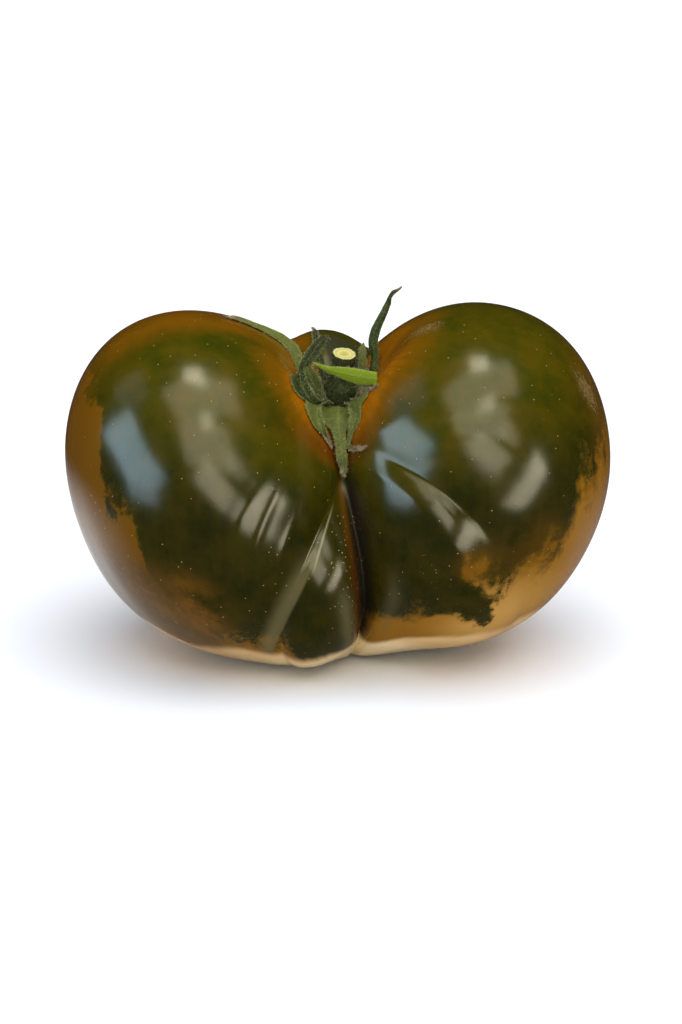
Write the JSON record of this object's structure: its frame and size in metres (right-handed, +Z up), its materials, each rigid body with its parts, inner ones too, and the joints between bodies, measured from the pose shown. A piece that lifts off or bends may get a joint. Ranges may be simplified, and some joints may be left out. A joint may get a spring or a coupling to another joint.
{
  "type": "tomato",
  "caption": "Large ribbed tomato with two high shoulders, a deep front crease, a green calyx and a short cut stalk, resting on its underside.",
  "frame": {"origin": "on the surface it rests on, under the middle of the fruit", "axes": "+X along the fruit's widest way, through both shoulders; -Y towards the side with the deep crease; +Z up"},
  "size_m": [0.0987, 0.0674, 0.0691],
  "materials": {
    "fruit_skin": "smooth waxy skin, dark olive green ripening to orange and tan",
    "sepal": "matt, finely hairy green leaf with dry brown tips",
    "stalk": "matt dark green stalk with a pale cut face"
  },
  "bodies": {
    "root": {"fruit": "fruit_skin", "calyx": "sepal", "pedicel": "stalk"}
  },
  "joints": []
}
